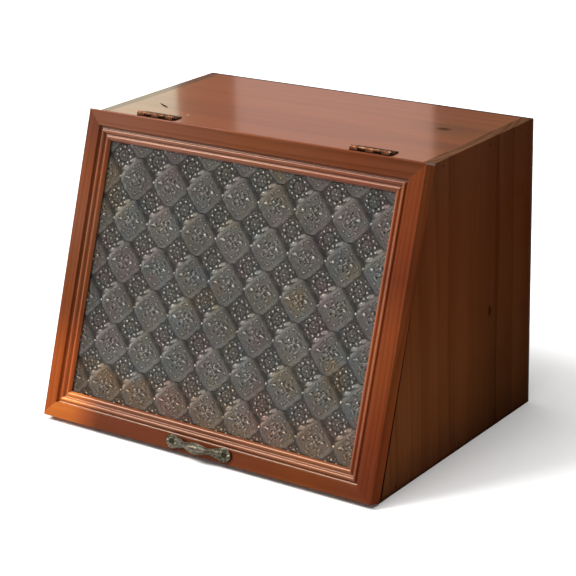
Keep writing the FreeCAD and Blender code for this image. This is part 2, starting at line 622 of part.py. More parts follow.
os.makedirs("parts", exist_ok=True)
whole = FreeCAD.BoundBox()
for b in NODES:
    b.Shape.exportStep("parts/%s.step" % b.Label)
    whole.add(b.Shape.BoundBox)
    bb = b.Shape.BoundBox
    print("%-24s solids %2d  volume %10.1f  x %8.2f %8.2f  y %8.2f %8.2f  z %8.2f %8.2f" % (
        b.Label, len(b.Shape.Solids), b.Shape.Volume, bb.XMin, bb.XMax, bb.YMin, bb.YMax, bb.ZMin, bb.ZMax))
print("overall x %.3f %.3f  y %.3f %.3f  z %.3f %.3f" % (
    whole.XMin, whole.XMax, whole.YMin, whole.YMax, whole.ZMin, whole.ZMax))
print("hinge axis y %.4f z %.4f" % (num(AX_Y) - num("@frame_shift"), num(AX_Z)))
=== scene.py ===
"""Looks for the bread cabinet: wood, brass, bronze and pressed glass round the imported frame."""
import math

import bpy
import numpy as np
from mathutils import Matrix, Vector


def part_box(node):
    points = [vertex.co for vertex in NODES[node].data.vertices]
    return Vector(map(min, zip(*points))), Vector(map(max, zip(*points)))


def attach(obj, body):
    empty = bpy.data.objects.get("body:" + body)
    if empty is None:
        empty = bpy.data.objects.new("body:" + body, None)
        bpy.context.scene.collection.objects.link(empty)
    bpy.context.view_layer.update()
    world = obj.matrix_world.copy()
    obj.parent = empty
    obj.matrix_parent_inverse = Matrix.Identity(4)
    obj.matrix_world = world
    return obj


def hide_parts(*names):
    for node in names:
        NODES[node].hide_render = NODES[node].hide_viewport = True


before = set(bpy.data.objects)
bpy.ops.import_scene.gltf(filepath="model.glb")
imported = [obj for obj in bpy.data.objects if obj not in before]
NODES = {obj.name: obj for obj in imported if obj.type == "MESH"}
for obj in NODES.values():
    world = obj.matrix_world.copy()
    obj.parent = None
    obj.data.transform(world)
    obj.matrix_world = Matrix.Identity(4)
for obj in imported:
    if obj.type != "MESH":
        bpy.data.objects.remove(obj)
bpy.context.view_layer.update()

# ------------------------------------------------------------------ places

LEAN = math.radians(18.3)
X = Vector((1, 0, 0))
U = Vector((0, math.sin(LEAN), math.cos(LEAN)))      # up the door
N = Vector((0, -math.cos(LEAN), math.sin(LEAN)))     # out of the door
HALF, TALL, THICK = 0.201, 0.3195, 0.016
TOP_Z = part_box("top_panel")[1].z
ORIGIN = Vector((0, -0.0318765, TOP_Z))              # back upper arris of the door


def door(x, v, w):
    """A point x across, v up from the door's top edge and w out from its back, in metres."""
    return ORIGIN + X * x + U * v + N * w


TURN = math.radians(-0.33)
MA = X * math.cos(TURN) + U * math.sin(TURN)         # moulding frame: across and up
MB = -X * math.sin(TURN) + U * math.cos(TURN)
MC = door(-0.0013, -0.0010 - TALL / 2, 0)
SLOPE = (ORIGIN.dot(U) - TALL, ORIGIN.dot(U))        # the door's foot and head, measured up the slope


def mould(a, b, w):
    return MC + MA * a + MB * b + N * w


# ------------------------------------------------------------------ shader helper


class Shader:
    """A Principled material and short ways to feed it."""

    def __init__(self, name, rough=0.4, metal=0.0, ior=1.5):
        self.m = bpy.data.materials.new(name)
        self.m.use_nodes = True
        self.t = self.m.node_tree
        self.t.nodes.clear()
        self.out = self.t.nodes.new("ShaderNodeOutputMaterial")
        self.p = self.t.nodes.new("ShaderNodeBsdfPrincipled")
        self.t.links.new(self.p.outputs[0], self.out.inputs[0])
        self.p.inputs["Roughness"].default_value = rough
        self.p.inputs["Metallic"].default_value = metal
        self.p.inputs["IOR"].default_value = ior
        tc = self.t.nodes.new("ShaderNodeTexCoord")
        self.pos, self.nrm = tc.outputs["Object"], tc.outputs["Normal"]
        self.dull = None

    def put(self, sock, v):
        if isinstance(v, bpy.types.NodeSocket):
            self.t.links.new(v, sock)
        elif v is not None:
            if hasattr(sock.default_value, "__len__") and not hasattr(v, "__len__"):
                v = (v,) * len(sock.default_value)
            if hasattr(sock.default_value, "__len__") and len(sock.default_value) == 4 and len(v) == 3:
                v = (*v, 1)
            sock.default_value = v

    def n(self, kind, **props):
        o = self.t.nodes.new("ShaderNode" + kind)
        for k, v in props.items():
            setattr(o, k, v)
        return o

    def set(self, **kw):
        for k, v in kw.items():
            self.put(self.p.inputs[k.replace("_", " ")], v)
        return self

    def math(self, op, a, b=None, c=None, clamp=False):
        o = self.n("Math", operation=op, use_clamp=clamp)
        for i, v in enumerate((a, b, c)):
            if v is not None:
                self.put(o.inputs[i], v)
        return o.outputs[0]

    def vec(self, op, a, b=None, scale=None):
        o = self.n("VectorMath", operation=op)
        self.put(o.inputs[0], a)
        if b is not None:
            self.put(o.inputs[1], b)
        if scale is not None:
            self.put(o.inputs["Scale"], scale)
        return o.outputs["Value" if op in ("LENGTH", "DISTANCE", "DOT_PRODUCT") else "Vector"]

    def mix(self, f, a, b, blend="MIX"):
        o = self.n("Mix", data_type="RGBA", blend_type=blend)
        self.put(o.inputs[0], f)
        self.put(o.inputs[6], a)
        self.put(o.inputs[7], b)
        return o.outputs[2]

    def ramp(self, f, stops, interp="LINEAR"):
        o = self.n("ValToRGB")
        o.color_ramp.interpolation = interp
        e = o.color_ramp.elements
        while len(e) < len(stops):
            e.new(0.5)
        for i, (at, col) in enumerate(stops):
            e[i].position = at
            e[i].color = (*col, 1) if hasattr(col, "__len__") else (col, col, col, 1)
        self.put(o.inputs[0], f)
        return o.outputs[0]

    def noise(self, v, scale=1.0, detail=2.0, rough=0.5, distort=0.0, colour=False):
        o = self.n("TexNoise")
        self.put(o.inputs["Vector"], v)
        o.inputs["Scale"].default_value = scale
        o.inputs["Detail"].default_value = detail
        o.inputs["Roughness"].default_value = rough
        o.inputs["Distortion"].default_value = distort
        return o.outputs["Color" if colour else "Fac"]

    def xyz(self, v):
        o = self.n("SeparateXYZ")
        self.put(o.inputs[0], v)
        return o.outputs[0], o.outputs[1], o.outputs[2]

    def comb(self, x, y, z):
        o = self.n("CombineXYZ")
        for s, v in zip(o.inputs, (x, y, z)):
            self.put(s, v)
        return o.outputs[0]

    def step(self, v, lo, hi, a=0.0, b=1.0):
        """Smoothly from a to b as v goes from lo to hi."""
        o = self.n("MapRange", interpolation_type="SMOOTHSTEP")
        for s, x in zip(o.inputs, (v, lo, hi, a, b)):
            self.put(s, x)
        return o.outputs[0]

    def line(self, v, at, half):
        """1 on a line where v is at, fading to 0 at half either side."""
        return self.step(self.math("ABSOLUTE", self.math("SUBTRACT", v, at)), half, half * 0.3)

    def spot(self, centre, radius, soft=0.6, stretch=None):
        d = self.vec("SUBTRACT", self.pos, tuple(centre))
        if stretch:
            d = self.vec("MULTIPLY", d, stretch)
        return self.step(self.vec("LENGTH", d), radius, radius * soft)

    def ao(self, distance, samples=6):
        o = self.n("AmbientOcclusion", samples=samples, only_local=False)
        o.inputs["Distance"].default_value = distance
        return o.outputs["AO"]

    def edge(self, radius, samples=4):
        """0 on flat faces, towards 1 along sharp edges."""
        b = self.n("Bevel", samples=samples)
        b.inputs["Radius"].default_value = radius
        g = self.n("NewGeometry")
        dot = self.vec("DOT_PRODUCT", b.outputs[0], g.outputs["Normal"])
        return self.step(dot, 0.98, 0.80)

    def bump(self, height, distance, strength=1.0, after=None):
        o = self.n("Bump")
        o.inputs["Strength"].default_value = strength
        o.inputs["Distance"].default_value = distance
        self.put(o.inputs["Height"], height)
        if after is not None:
            self.put(o.inputs["Normal"], after)
        return o.outputs[0]


def rgb(r, g, b):
    """Linear colour from the usual 0-255 values."""
    return tuple((c / 255 / 12.92) if c / 255 <= 0.04045 else ((c / 255 + 0.055) / 1.055) ** 2.4 for c in (r, g, b))


# ------------------------------------------------------------------ wood

GRAIN = {                        # turns that lay the grain along the texture's Z
    "x": [((0, 1, 0), -90)],
    "z": [],
    "slope": [((1, 0, 0), 18.3)],
    "rail": [((1, 0, 0), 18.3), ((0, 1, 0), -90)],
}


def wood(name, grain, tones, along, span, seed=0.0, ring=0.0065, ring_depth=0.30, streak=0.35, pith=(0.02, -0.09),
         stops=None, tint=(1.0, 0.62, 0.42, 1.0), end_gain=(0.92, 1.02, 1.15), rough=0.34, spec=0.12, coat=0.0, coat_rough=0.16, crevice_shade=None, wear_and_glint=0.0, ends=0.55, extra=None, facing_shade=None, foot_light=None, bead=None, arris=None):
    """Stained solid wood. tones are colours along an object-space direction, over span."""
    s = Shader(name, rough=rough)
    q = s.pos
    for axis, deg in GRAIN[grain]:
        o = s.n("VectorRotate", rotation_type="AXIS_ANGLE")
        s.put(o.inputs["Vector"], q)
        o.inputs["Axis"].default_value = axis
        o.inputs["Angle"].default_value = math.radians(deg)
        q = o.outputs[0]
    q = s.vec("ADD", q, (seed * 0.37, seed * 0.21, seed * 0.53))
    # slow wander of the fibres
    wander = s.noise(s.vec("MULTIPLY", q, (5.0, 5.0, 1.6)), 1.0, 2.0, 0.5, colour=True)
    wander = s.vec("SCALE", s.vec("SUBTRACT", wander, (0.5, 0.5, 0.5)), scale=0.022)
    qd = s.vec("ADD", q, wander)
    qx, qy, qz = s.xyz(qd)
    sx, sy = seed * 0.37, seed * 0.21
    cx = s.math("SUBTRACT", qx, pith[0] + sx)
    cy = s.math("SUBTRACT", qy, pith[1] + sy)
    r = s.math("SQRT", s.math("ADD", s.math("MULTIPLY", cx, cx), s.math("MULTIPLY", cy, cy)))
    # rings of uneven width
    uneven = s.noise(s.comb(s.math("MULTIPLY", r, 38.0), seed, 0.0), 1.0, 1.0, 0.5)
    t = s.math("ADD", s.math("DIVIDE", r, ring), s.math("MULTIPLY", uneven, 3.0))
    late = s.ramp(s.math("FRACT", t), [(0.0, 0.0), (0.45, 0.12), (0.80, 0.75), (0.90, 1.0), (1.0, 0.0)], "EASE")
    # fibre streaks, coarse and fine
    coarse = s.noise(s.vec("MULTIPLY", qd, (150.0, 150.0, 3.2)), 1.0, 3.0, 0.6)
    fine = s.noise(s.vec("MULTIPLY", q, (1300.0, 1300.0, 26.0)), 1.0, 2.0, 0.6)
    broad = s.noise(s.vec("MULTIPLY", qd, (22.0, 22.0, 2.4)), 1.0, 2.0, 0.5)
    v = s.math("MULTIPLY_ADD", late, -ring_depth, 1.0 + ring_depth * 0.28)
    v = s.math("MULTIPLY_ADD", s.math("SUBTRACT", coarse, 0.5), streak, v)
    v = s.math("MULTIPLY_ADD", s.math("SUBTRACT", fine, 0.5), streak * 0.55, v)
    v = s.math("MULTIPLY_ADD", s.math("SUBTRACT", broad, 0.5), 0.42, v)
    v = s.math("MAXIMUM", v, 0.3)
    # tone along the piece
    p = s.vec("DOT_PRODUCT", s.pos, tuple(along))
    f = s.math("DIVIDE", s.math("SUBTRACT", p, span[0]), span[1] - span[0], clamp=True)
    n = max(len(tones) - 1, 1)
    at = stops or [i / n for i in range(n + 1)]
    base = s.ramp(f, list(zip(at, tones)))
    # dark streaks go redder, light ones yellower
    g = s.math("POWER", v, 1.25)
    b = s.math("POWER", v, 1.35)
    col = s.vec("MULTIPLY", base, s.comb(v, g, b))
    end = s.math("ABSOLUTE", s.vec("DOT_PRODUCT", s.nrm, {"x": (1, 0, 0), "rail": (1, 0, 0), "z": (0, 0, 1),
                                                        "slope": tuple(U)}[grain]))
    end = s.step(end, 0.75, 0.92)
    rings_end = s.math("MULTIPLY_ADD", late, -0.25, 1.0)
    col = s.mix(end, col, s.vec("SCALE", s.vec("MULTIPLY", col, end_gain), scale=s.math("MULTIPLY", rings_end, ends)))
    gloss = coat
    # painted light and shade: faces turned one way get a lighter or darker tint, and with a foot value grow lighter
    # toward the floor
    if facing_shade:
        face, gain = facing_shade
        facing = s.step(s.vec("DOT_PRODUCT", s.nrm, face), 0.7, 0.95)
        sided = s.vec("MULTIPLY", col, gain)
        if foot_light:
            sided = s.vec("SCALE", sided, scale=s.step(s.xyz(s.pos)[2], 0.14, 0.01, 1.0, foot_light))
        col = s.mix(facing, col, sided)
        if coat:
            gloss = s.math("MULTIPLY_ADD", facing, -coat, coat)
    # painted highlight: a thin lighter band along the door's top front arris
    if arris:
        high = s.step(s.vec("DOT_PRODUCT", s.pos, tuple(U)), SLOPE[1] - 0.0015, SLOPE[1] - 0.0008)
        out = ORIGIN.dot(N) + THICK
        high = s.math("MULTIPLY", high, s.step(s.vec("DOT_PRODUCT", s.pos, tuple(N)), out - 0.0018, out - 0.0009))
        col = s.mix(high, col, s.vec("MULTIPLY", col, arris))
    # painted light: the moulding round the glass is lightened, standing in for light caught by its beads
    if bead:
        q2 = s.vec("SUBTRACT", s.pos, tuple(MC))
        a2 = s.math("SUBTRACT", s.math("ABSOLUTE", s.vec("DOT_PRODUCT", q2, tuple(MA))), 0.1857)
        b2 = s.math("SUBTRACT", s.math("ABSOLUTE", s.vec("DOT_PRODUCT", q2, tuple(MB))), 0.1444)
        on = s.step(s.math("MAXIMUM", a2, b2), 0.0004, -0.0006)
        s.inside = on
        col = s.mix(on, col, s.vec("MULTIPLY", col, bead))
    rough_v = s.math("MULTIPLY_ADD", s.math("SUBTRACT", coarse, 0.5), 0.22, rough)
    rough_v = s.math("ADD", rough_v, s.math("MULTIPLY", end, 0.22))
    # edges lightened in noisy patches: rubbed wear, and on the door's arrises also a painted highlight
    if wear_and_glint:
        e = s.math("MULTIPLY", s.edge(0.0011), s.step(s.noise(s.pos, 60.0, 3.0, 0.6), 0.42, 0.62))
        col = s.mix(s.math("MULTIPLY", e, wear_and_glint), col, s.vec("MULTIPLY", col, (1.75, 1.7, 1.6)))
    # painted shade: ambient occlusion darkens the colour in grooves, hollows and the gaps between parts
    if crevice_shade:
        a = s.step(s.ao(crevice_shade[0]), crevice_shade[1], 0.95)
        col = s.mix(s.math("SUBTRACT", 1.0, a), col, s.vec("MULTIPLY", col, crevice_shade[2]))
    if extra:
        col, rough_v = extra(s, col, rough_v)
        if s.dull is not None:
            gloss = s.math("MULTIPLY_ADD", s.dull, -coat, coat)
    h = s.math("MULTIPLY_ADD", late, -0.5, s.math("MULTIPLY", coarse, 0.5))
    h = s.math("MULTIPLY_ADD", fine, 0.5, h)
    s.set(Base_Color=col, Roughness=rough_v, Coat_Weight=gloss, Coat_Roughness=coat_rough,
          Normal=s.bump(h, 0.00012, 0.35))
    s.p.inputs["Coat IOR"].default_value = 1.5
    s.p.inputs["Specular IOR Level"].default_value = spec
    s.p.inputs["Specular Tint"].default_value = tint
    return s


GLOW = (1.0, 0.70, 0.52, 1.0)        # old varnish gives a warm glint


def k(*cols):
    return [tuple(c) for c in cols]


def lin(*cols, gain=0.715):
    """Tones given as 0-255 colours."""
    return [tuple(x * gain for x in rgb(*c)) for c in cols]


CUT = Vector((0, -math.cos(math.radians(18)), math.sin(math.radians(18))))    # out of the carcass's sloping front
CUT_AT = max((NODES["right_side_panel"].matrix_world @ v.co).dot(CUT) for v in NODES["right_side_panel"].data.vertices)


def side_marks(sign):
    def extra(s, col, rough):
        x, y, z = s.xyz(s.pos)
        # painted shadow: a dark line on the outer face just behind the front edge, widening toward the floor, for the
        # shade in the door's gap
        back = s.math("SUBTRACT", CUT_AT, s.vec("DOT_PRODUCT", s.pos, tuple(CUT)))
        wide = s.step(z, 0.30, 0.0, 0.0009, 0.0034)
        gap_shadow = s.step(s.math("DIVIDE", back, wide), 1.0, 0.55)
        gap_shadow = s.math("MULTIPLY", gap_shadow, s.step(s.vec("DOT_PRODUCT", s.nrm, (sign, 0, 0)), 0.4, 0.8))
        col = s.mix(s.math("MULTIPLY", gap_shadow, 0.92), col, (0.006, 0.0022, 0.001))
        seam = s.line(y, 0.154 - 0.1302535, 0.00045)
        col = s.mix(s.math("MULTIPLY", seam, 0.30), col, (0.012, 0.004, 0.002))
        wob = s.math("MULTIPLY_ADD", s.noise(s.comb(0.0, 0.0, s.math("MULTIPLY", z, 14.0)), 1.0, 2.0, 0.5), 0.006, -0.003)
        dark = s.line(s.math("ADD", y, wob), 0.2165 - 0.1302535, 0.0016)
        col = s.mix(s.math("MULTIPLY", dark, 0.35), col, (0.014, 0.004, 0.002))
        kn = s.spot((sign * 0.2, 0.204 - 0.1302535, 0.127), 0.0042, 0.35, (1, 1, 0.55))
        col = s.mix(s.math("MULTIPLY", kn, 0.75), col, (0.016, 0.004, 0.0015))
        # painted shade: darker toward the back, more so low down
        low = s.step(z, 0.30, 0.02)
        rear_shade = s.step(y, -0.05, 0.11, 1.04, s.math("MULTIPLY_ADD", low, -0.22, 0.80))
        smudge = s.step(s.noise(s.vec("MULTIPLY", s.pos, (1.0, 1.0, 0.55)), 22.0, 3.0, 0.55), 0.46, 0.66)
        smudge = s.math("MULTIPLY", smudge, s.step(y, 0.02, 0.09))
        col = s.mix(s.math("MULTIPLY", smudge, 0.5), col, s.vec("MULTIPLY", col, (0.80, 0.66, 0.58)))
        return s.vec("SCALE", col, scale=rear_shade), rough
    return extra


def top_marks(s, col, rough):
    # dark fleck, a filled pale speck and a small knot
    x, y, z = s.xyz(s.pos)
    d = s.vec("SUBTRACT", s.pos, (-0.154, 0.0145, TOP_Z))
    dx, dy, dz = s.xyz(d)
    along = s.math("ADD", s.math("MULTIPLY", dx, 0.86), s.math("MULTIPLY", dy, -0.51))
    across = s.math("ADD", s.math("MULTIPLY", dx, 0.51), s.math("MULTIPLY", dy, 0.86))
    rr = s.math("ADD", s.math("POWER", s.math("DIVIDE", along, 0.0115), 2.0),
                s.math("POWER", s.math("DIVIDE", s.math("ADD", across, s.math(
                    "MULTIPLY_ADD", s.noise(s.pos, 260.0, 2.0, 0.5), 0.004, -0.002)), 0.0016), 2.0))
    fleck = s.step(rr, 1.2, 0.6)
    col = s.mix(s.math("MULTIPLY", fleck, 0.95), col, (0.012, 0.004, 0.002))
    speck = s.spot((-0.108, -0.0043, TOP_Z), 0.0019, 0.7)
    col = s.mix(s.math("MULTIPLY", speck, 0.8), col, (0.55, 0.40, 0.30))
    halo = s.spot((0.1462, 0.0793, TOP_Z), 0.034, 0.1, (0.45, 1, 1))
    col = s.mix(s.math("MULTIPLY", halo, 0.7), col, s.vec("MULTIPLY", col, (0.60, 0.78, 0.85)))
    knot = s.spot((0.1442, 0.0783, TOP_Z), 0.0070, 0.2, (0.6, 1, 1))
    col = s.mix(s.math("MULTIPLY", knot, 0.85), col, (0.02, 0.006, 0.003))
    rough = s.math("ADD", rough, s.math("MULTIPLY", s.math("MAXIMUM", knot, fleck), 0.35))
    s.dull = s.math("MAXIMUM", fleck, s.math("MULTIPLY", knot, 0.8))
    return col, rough


FR = [0.06, 0.2, 0.35, 0.5, 0.65, 0.8, 0.94]
UP = [1 - f for f in reversed(FR)]
# painted shade for the door's grooves: occlusion reach, threshold and darkening colour
CREVICE_SHADE = (0.0045, 0.45, (0.42, 0.36, 0.32))
SIDE = [(76, 43, 24), (82, 46, 23), (82, 45, 22), (78, 41, 20), (74, 38, 18), (72, 36, 18), (70, 38, 21)]
SIDE_AT = [0.04, 0.13, 0.30, 0.46, 0.62, 0.79, 0.95]
WOODS = {}
WOODS["right_side_panel"] = wood("side_wood_right", "z", lin(*SIDE, gain=1.20), (0, 0, 1), (0, 0.304), stops=SIDE_AT, seed=1.3, ring=0.0085,
                                 ring_depth=0.20, streak=0.40, crevice_shade=(0.006, 0.40, (0.10, 0.08, 0.07)), pith=(-0.06, 0.05), rough=0.42, spec=0.0, wear_and_glint=0.25, ends=1.0, end_gain=(1.45, 2.1, 2.9),
                                 extra=side_marks(1))
LEFT = dict(stops=SIDE_AT, seed=4.1, ring=0.0085, ring_depth=0.22, streak=0.40, crevice_shade=(0.006, 0.40, (0.10, 0.08, 0.07)),
            pith=(0.07, -0.04), rough=0.42, wear_and_glint=0.25, ends=1.0, end_gain=(1.45, 2.1, 2.9))
WOODS["left_side_panel"] = wood("side_wood_left", "z", lin(*SIDE, gain=1.08), (0, 0, 1), (0, 0.304), spec=0.04, coat=0.08,
                                extra=side_marks(-1), **LEFT)
LEFT_TOP = wood("side_wood_left_end", "z", lin(*SIDE, gain=1.08), (0, 0, 1), (0, 0.304), spec=0.12, coat=0.9, coat_rough=0.14,
                extra=side_marks(-1), **LEFT)     # end grain that took the lacquer of the top
WOODS["top_panel"] = wood("carcass_wood_top", "x", lin((130, 66, 30), (130, 62, 27), (128, 60, 25), (134, 70, 24), gain=0.685),
                          (1, 0, 0), (-0.19, 0.19), seed=2.2, ring=0.0075, ring_depth=0.20, streak=0.26, pith=(-0.12, 0.03),
                          rough=0.34, spec=0.10, coat=1.0, coat_rough=0.10, wear_and_glint=0.3, extra=top_marks)
WOODS["bottom_panel"] = wood("carcass_wood_bottom", "x", lin((104, 56, 32), (98, 52, 30)), (1, 0, 0), (-0.19, 0.19), seed=5.6,
                             ring=0.008, pith=(0.1, 0.02), rough=0.45, spec=0.1)
TOP_RAIL = [(122, 76, 57), (122, 75, 56), (112, 66, 46), (108, 60, 35), (104, 57, 34), (100, 50, 28), (94, 49, 28)]
# the bright orange at the start of BOTTOM_RAIL and the foot of LEFT_STILE, round the door's lower left corner, is
# painted light
BOTTOM_RAIL = [(188, 102, 41), (180, 95, 40), (142, 70, 34), (102, 49, 27), (98, 46, 27), (96, 45, 25), (101, 48, 23), (108, 52, 20), (102, 48, 24)]
LEFT_STILE = [(160, 76, 30), (158, 75, 30), (118, 58, 28), (116, 62, 34), (122, 70, 46), (124, 66, 38), (106, 58, 40)]
RIGHT_STILE = [(98, 42, 20), (107, 46, 22), (118, 56, 26), (122, 58, 28), (102, 46, 24), (112, 52, 26), (112, 54, 27)]


def dull_right(s, col, rough):
    # the top moulding has lost its gloss toward the right
    t = s.math("MULTIPLY", s.inside, s.step(s.xyz(s.pos)[0], -0.05, 0.16))
    return s.mix(t, col, s.vec("MULTIPLY", col, (1.12, 0.88, 0.64))), s.math("MULTIPLY_ADD", t, 0.14, rough)


WOODS["door_top_rail"] = wood("door_wood_top", "rail", lin(*TOP_RAIL), (1, 0, 0), (-0.201, 0.201), stops=FR, seed=7.4, ring=0.006,
                              ring_depth=0.20, pith=(0.03, -0.07), crevice_shade=CREVICE_SHADE, wear_and_glint=0.8, bead=(1.12, 1.05, 0.95), arris=(1.7, 1.9, 2.3), extra=dull_right, spec=0.42, tint=(1.0, 0.60, 0.42, 1.0), rough=0.20, coat=0.12, coat_rough=0.14)
WOODS["door_bottom_rail"] = wood("door_wood_bottom", "rail", lin(*BOTTOM_RAIL), (1, 0, 0), (-0.201, 0.201), stops=[0.03, 0.09, 0.135, 0.175, 0.22, 0.3, 0.7, 0.8, 0.94],
                                 seed=9.1, ring=0.006, ring_depth=0.20, pith=(0.03, 0.08), crevice_shade=CREVICE_SHADE, wear_and_glint=0.6, bead=(1.50, 1.74, 1.42), spec=0.42, tint=GLOW, rough=0.20, coat=0.12, coat_rough=0.14)
WOODS["door_left_stile"] = wood("door_wood_left", "slope", lin(*LEFT_STILE), tuple(U), SLOPE, stops=UP, seed=11.7, ring=0.006,
                                ring_depth=0.20, pith=(0.04, -0.08), crevice_shade=CREVICE_SHADE, wear_and_glint=0.45, bead=(1.15, 1.10, 0.95), spec=0.42, tint=GLOW, rough=0.20, coat=0.12, coat_rough=0.14, facing_shade=((-1, 0, 0), (0.85, 0.8, 0.75)))
WOODS["door_right_stile"] = wood("door_wood_right", "slope", lin(*RIGHT_STILE), tuple(U), SLOPE, stops=UP, seed=13.2, ring=0.006,
                                 ring_depth=0.22, pith=(-0.04, -0.08), crevice_shade=CREVICE_SHADE, wear_and_glint=0.45, bead=(1.25, 1.25, 1.05), spec=0.42, tint=GLOW, rough=0.20, coat=0.12, coat_rough=0.14)
# the right stile's outer side and end, rubbed matt; the side face's own tint, lighter toward the floor, is painted
# light
STILE_SIDE = wood("door_wood_right_matt", "slope", lin(*RIGHT_STILE), tuple(U), SLOPE, stops=UP, seed=13.2, ring=0.006, ring_depth=0.22,
                  pith=(-0.04, -0.08), crevice_shade=CREVICE_SHADE, wear_and_glint=0.45, spec=0.0, facing_shade=((1, 0, 0), (0.96, 1.18, 1.25)), foot_light=1.5)
for i, side in enumerate(("top", "bottom", "left", "right")):
    WOODS["glazing_bead_" + side] = wood("bead_wood_" + side, "rail" if i < 2 else "slope", lin((96, 52, 32), (104, 56, 34)),
                                         (1, 0, 0) if i < 2 else tuple(U), (-0.18, 0.18) if i < 2 else (0, 0.3),
                                         seed=15.0 + i, ring=0.004, rough=0.5, spec=0.1)


def back_board():
    s = wood("back_board", "z", lin((70, 42, 28), (62, 36, 24)), (0, 0, 1), (0, 0.304), seed=21.0, ring=0.012, ring_depth=0.25,
             streak=0.5, rough=0.6, spec=0.05, ends=0.5)
    return s


WOODS["back_panel"] = back_board()

# ------------------------------------------------------------------ metals, felt


def metal(name, bright, dull, rough=0.36, patina=0.5, scale=240.0, hollow_shade_tint=(0.02, 0.015, 0.008), ao=0.0016, wear_and_glint=0.6, metal_amount=1.0,
          bump=0.00006, underside_shade=None):
    s = Shader(name, rough=rough, metal=metal_amount)
    cloud = s.noise(s.pos, scale, 4.0, 0.65)
    grit = s.noise(s.pos, scale * 7, 2.0, 0.6)
    f = s.step(s.math("MULTIPLY_ADD", s.math("SUBTRACT", grit, 0.5), 0.5, cloud), 0.5 - patina * 0.25, 0.72 - patina * 0.15)
    col = s.mix(f, dull, bright)
    # edges lightened: painted highlight, partly rubbed wear
    e = s.edge(0.0007)
    col = s.mix(s.math("MULTIPLY", e, wear_and_glint), col, tuple(min(1.0, c * 1.35) for c in bright))
    # painted shade: ambient occlusion darkens the colour in crevices and hollows
    a = s.step(s.ao(ao), 0.35, 0.9)
    col = s.mix(a, s.vec("MULTIPLY", col, tuple(h * 12 for h in hollow_shade_tint)), col)
    # painted shade: darker below a set height, under the hinge barrel and on the leaf beneath it
    if underside_shade:
        col = s.vec("SCALE", col, scale=s.step(s.xyz(s.pos)[2], *underside_shade, 0.16, 1.0))
    r = s.math("MULTIPLY_ADD", s.math("SUBTRACT", 1.0, f), 0.22, rough)
    r = s.math("MULTIPLY_ADD", s.math("SUBTRACT", grit, 0.5), 0.12, r)
    s.set(Base_Color=col, Roughness=r, Normal=s.bump(s.math("ADD", cloud, grit), bump, 0.5))
    return s


METALS = {
    "door_leaf": metal("hinge_brass_bright", rgb(126, 82, 58), rgb(74, 47, 33), rough=0.42, patina=0.55, scale=320, hollow_shade_tint=(0.03, 0.02, 0.012), underside_shade=(0.3045, 0.3069)),
    "top_leaf": metal("hinge_brass_dull", rgb(116, 82, 60), rgb(62, 46, 36), rough=0.44, patina=0.7, scale=300, hollow_shade_tint=(0.03, 0.022, 0.016), underside_shade=(0.3045, 0.3069)),
    "hinge_pin": metal("hinge_pin_steel", rgb(120, 104, 84), rgb(62, 50, 40), rough=0.45, patina=0.8),
    "pull": metal("pull_bronze", rgb(104, 98, 83), rgb(46, 42, 33), rough=0.40, patina=0.65, scale=260, hollow_shade_tint=(0.028, 0.026, 0.018), ao=0.0022, wear_and_glint=0.75,
                  metal_amount=0.85, bump=0.00009),
    "pull_screw": metal("pull_screw_bronze", rgb(60, 54, 40), rgb(26, 23, 16), rough=0.5, patina=0.8),
    "screw": metal("leaf_screw_brass", rgb(150, 112, 66), rgb(74, 54, 36), rough=0.4, patina=0.7),
    "nail": metal("nail_steel", rgb(78, 62, 52), rgb(34, 24, 20), rough=0.55, patina=0.8),
    "brad": metal("brad_steel", rgb(140, 132, 122), rgb(72, 64, 58), rough=0.45, patina=0.6),
}


def felt():
    s = Shader("felt_brown", rough=0.95)
    fuzz = s.noise(s.pos, 2600.0, 3.0, 0.7)
    blot = s.noise(s.pos, 500.0, 2.0, 0.5)
    col = s.mix(fuzz, (0.045, 0.026, 0.018), (0.16, 0.10, 0.07))
    col = s.vec("SCALE", col, scale=s.math("MULTIPLY_ADD", blot, 0.5, 0.75))
    s.set(Base_Color=col, Sheen_Weight=0.1, Normal=s.bump(fuzz, 0.0003, 0.7))
    return s


FELT = felt()

# ------------------------------------------------------------------ finish the carried-over pieces


def dress(name, shader, bevel=0.0003, segments=2, dissolve=True):
    o = NODES[name]
    o.data.materials.clear()
    o.data.materials.append(shader.m)
    with bpy.context.temp_override(object=o, active_object=o, selected_objects=[o], mesh=o.data):
        bpy.ops.mesh.customdata_custom_splitnormals_clear()
    o.data.polygons.foreach_set("use_smooth", np.ones(len(o.data.polygons), bool))
    m = o.modifiers.new("weld", "WELD")
    m.merge_threshold = 2e-6
    if dissolve:
        m = o.modifiers.new("flat", "DECIMATE")
        m.decimate_type = "DISSOLVE"
        m.angle_limit = math.radians(0.4)
    if bevel:
        m = o.modifiers.new("arris", "BEVEL")
        m.width = bevel
        m.segments = segments
        m.limit_method = "ANGLE"
        m.angle_limit = math.radians(32)
        m.use_clamp_overlap = True
        m.miter_outer = "MITER_ARC"
        m = o.modifiers.new("shade", "WEIGHTED_NORMAL")
        m.keep_sharp = False
        m.weight = 80


for name in ("left_side_panel", "right_side_panel", "top_panel", "bottom_panel"):
    dress(name, WOODS[name], 0.0008, 3)
dress("back_panel", WOODS["back_panel"], 0.0004)
for name in ("door_top_rail", "door_bottom_rail", "door_left_stile", "door_right_stile"):
    dress(name, WOODS[name], 0.00035)


def second(name, shader, test):
    """Give some of a piece's faces a second finish."""
    o = NODES[name]
    o.data.materials.append(shader.m)
    turn = o.matrix_world.to_3x3()
    for f in o.data.polygons:
        if test((turn @ f.normal).normalized()):
            f.material_index = 1


